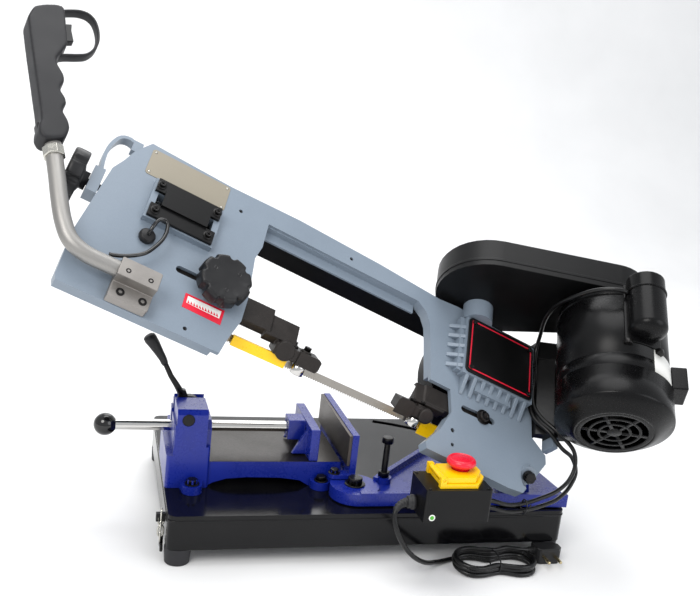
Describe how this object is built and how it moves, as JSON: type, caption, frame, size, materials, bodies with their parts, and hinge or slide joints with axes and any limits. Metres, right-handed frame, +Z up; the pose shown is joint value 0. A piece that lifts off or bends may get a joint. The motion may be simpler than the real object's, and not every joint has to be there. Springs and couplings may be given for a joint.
{
  "type": "bench-top metal-cutting band saw",
  "caption": "Bench-top horizontal band saw for metal: tilting bow with motor and belt drive, swivelling arm, quick-clamp vise and blade guides on a pressed base.",
  "frame": {"origin": "centre of the front left foot's underside", "axes": "+X along the machine towards the motor end, +Y away from the operator's side, +Z up"},
  "size_m": [0.9702, 0.5064, 0.7344],
  "materials": {
    "casting_paint": "smooth semi-gloss grey-blue enamel on cast aluminium",
    "blue_paint": "semi-gloss deep blue enamel on cast iron",
    "black_paint": "glossy black enamel",
    "black_plastic": "satin black moulded plastic",
    "rubber": "matt black rubber and cable sheath",
    "steel": "turned and ground bright steel",
    "dark_steel": "oiled dark steel",
    "yellow_plastic": "glossy yellow moulded plastic",
    "yellow_paint": "yellow enamel on sheet steel",
    "red_plastic": "glossy red moulded plastic",
    "brass": "cut bronze"
  },
  "bodies": {
    "root": {"base_pan": "black_paint", "foot_front_left": "rubber", "foot_front_right": "rubber", "foot_back_left": "rubber", "foot_back_right": "rubber", "vise_body": "blue_paint", "fixed_jaw": "blue_paint", "fixed_jaw_plate": "dark_steel", "cam_pin": "steel", "hold_down_chain": "black_paint", "swivel_bolt": "steel", "mains_cord": "rubber", "cord_hank": "rubber", "mains_plug": "rubber"},
    "vise_slide": {"vise_rod": "steel", "ball_knob": "black_plastic", "moving_jaw": "blue_paint"},
    "clamp_lever": {"cam_lever": "black_plastic"},
    "arm": {"swivel_arm": "blue_paint", "stop_screw": "steel", "pivot_pin": "steel", "switch_box": "black_plastic", "switch_frame": "yellow_plastic"},
    "flap": {"stop_flap": "yellow_plastic"},
    "mushroom": {"stop_mushroom": "red_plastic"},
    "bow": {"bow_casting": "casting_paint", "rear_cover": "black_paint", "gearbox_cover": "black_paint", "slide_rail_upper": "black_paint", "slide_rail_lower": "black_paint", "handle_clamp": "steel", "handle_tube": "steel", "handle_grip": "black_plastic", "trigger_cable": "rubber", "motor_plate": "black_paint", "motor_body": "black_paint", "fan_cover": "black_paint", "capacitor_housing": "black_paint", "junction_box": "black_plastic", "belt_cover": "black_paint", "right_guide": "dark_steel", "right_guard": "yellow_paint", "blade": "steel", "belt": "rubber", "motor_cable": "rubber", "control_cable": "rubber"},
    "trigger_body": {"trigger": "black_plastic"},
    "guide": {"guide_arm": "dark_steel", "left_guard": "yellow_paint"},
    "guide_knob_body": {"guide_knob": "black_plastic"},
    "left_roller_body": {"left_roller": "steel"},
    "right_roller_body": {"right_roller": "steel"},
    "tension_slide_body": {"idler_slide": "dark_steel"},
    "tension_knob_body": {"tension_knob": "black_plastic"},
    "idler": {"idler_wheel": "steel"},
    "drive": {"drive_wheel": "steel"},
    "gear": {"worm_gear": "brass"},
    "worm": {"worm_shaft": "steel"},
    "rotor": {"motor_shaft": "steel"}
  },
  "joints": [
    {"name": "arm_swivel", "type": "hinge", "parent": "root", "child": "arm", "pos_m": [0.258, 0.039, 0.075], "axis": [0, 0, 1], "range_deg": [0, 45], "deforming": ["mains_cord"]},
    {"name": "bow_lift", "type": "hinge", "parent": "arm", "child": "bow", "pos_m": [0.5125, 0.039, 0.1296], "axis": [0, 1, 0], "range_deg": [-24.1, 12.5], "deforming": ["motor_cable", "control_cable"]},
    {"name": "vise_travel", "type": "slide", "parent": "root", "child": "vise_slide", "axis": [1, 0, 0], "range_m": [-0.076, 0.0395]},
    {"name": "cam_clamp", "type": "hinge", "parent": "root", "child": "clamp_lever", "pos_m": [0.01, 0.138, 0.179], "axis": [0, 1, 0], "range_deg": [-60, 115]},
    {"name": "flap_open", "type": "hinge", "parent": "arm", "child": "flap", "pos_m": [0.34, -0.068, 0.1622], "axis": [0, 1, 0], "range_deg": [-75, 0]},
    {"name": "stop_press", "type": "slide", "parent": "flap", "child": "mushroom", "axis": [0, 0, -1], "range_m": [0, 0.004], "stiffness_N_per_m": 1200, "springref_m": -0.001},
    {"name": "trigger_pull", "type": "slide", "parent": "bow", "child": "trigger_body", "axis": [-0.9561, -0.2784, 0.0913], "range_m": [0, 0.005], "stiffness_N_per_m": 800, "springref_m": -0.001},
    {"name": "guide_travel", "type": "slide", "parent": "bow", "child": "guide", "axis": [0.9252, 0, -0.3795], "range_m": [-0.0575, 0.0295]},
    {"name": "guide_knob_turn", "type": "hinge", "parent": "guide", "child": "guide_knob_body", "pos_m": [0.03769, 0.02486, 0.39593], "axis": [0.2683, -0.7071, 0.6542], "range_deg": [0, 270]},
    {"name": "left_roller_spin", "type": "hinge", "parent": "guide", "child": "left_roller_body", "pos_m": [0.14964, 0.0274, 0.27359], "axis": [0.3795, 0, 0.9252], "continuous": true},
    {"name": "right_roller_spin", "type": "hinge", "parent": "bow", "child": "right_roller_body", "pos_m": [0.33098, 0.0274, 0.19922], "axis": [0.3795, 0, 0.9252], "continuous": true},
    {"name": "tension_travel", "type": "slide", "parent": "bow", "child": "tension_slide_body", "axis": [0.9252, 0, -0.3795], "range_m": [0, 0.003]},
    {"name": "tension_knob_turn", "type": "hinge", "parent": "bow", "child": "tension_knob_body", "pos_m": [-0.15829, 0.10547, 0.50841], "axis": [-0.9252, 0, 0.3795], "range_deg": [0, 540]},
    {"name": "idler_spin", "type": "hinge", "parent": "tension_slide_body", "child": "idler", "pos_m": [-0.03952, 0.10618, 0.42378], "axis": [0.2683, -0.7071, 0.6542], "continuous": true},
    {"name": "drive_spin", "type": "hinge", "parent": "bow", "child": "drive", "pos_m": [0.4601, 0.10618, 0.21887], "axis": [0.2683, -0.7071, 0.6542], "continuous": true},
    {"name": "worm_gear_spin", "type": "hinge", "parent": "bow", "child": "gear", "pos_m": [0.49216, 0.09981, 0.27069], "axis": [0.2683, -0.7071, 0.6542], "continuous": true},
    {"name": "worm_spin", "type": "hinge", "parent": "bow", "child": "worm", "pos_m": [0.44324, 0.09769, 0.28846], "axis": [0.2683, 0.7071, 0.6542], "continuous": true},
    {"name": "motor_spin", "type": "hinge", "parent": "bow", "child": "rotor", "pos_m": [0.62815, 0.00294, 0.31503], "axis": [0.2683, 0.7071, 0.6542], "continuous": true}
  ],
  "couplings": [
    {"joint": "cam_clamp", "follows": "bow_lift", "ratio": -4.75},
    {"joint": "tension_knob_turn", "follows": "tension_travel", "rad_per_m": 3141.6},
    {"joint": "worm_spin", "follows": "motor_spin", "ratio": 0.6087},
    {"joint": "worm_gear_spin", "follows": "motor_spin", "ratio": -0.06087},
    {"joint": "drive_spin", "follows": "motor_spin", "ratio": 0.029264},
    {"joint": "idler_spin", "follows": "motor_spin", "ratio": 0.029264}
  ]
}
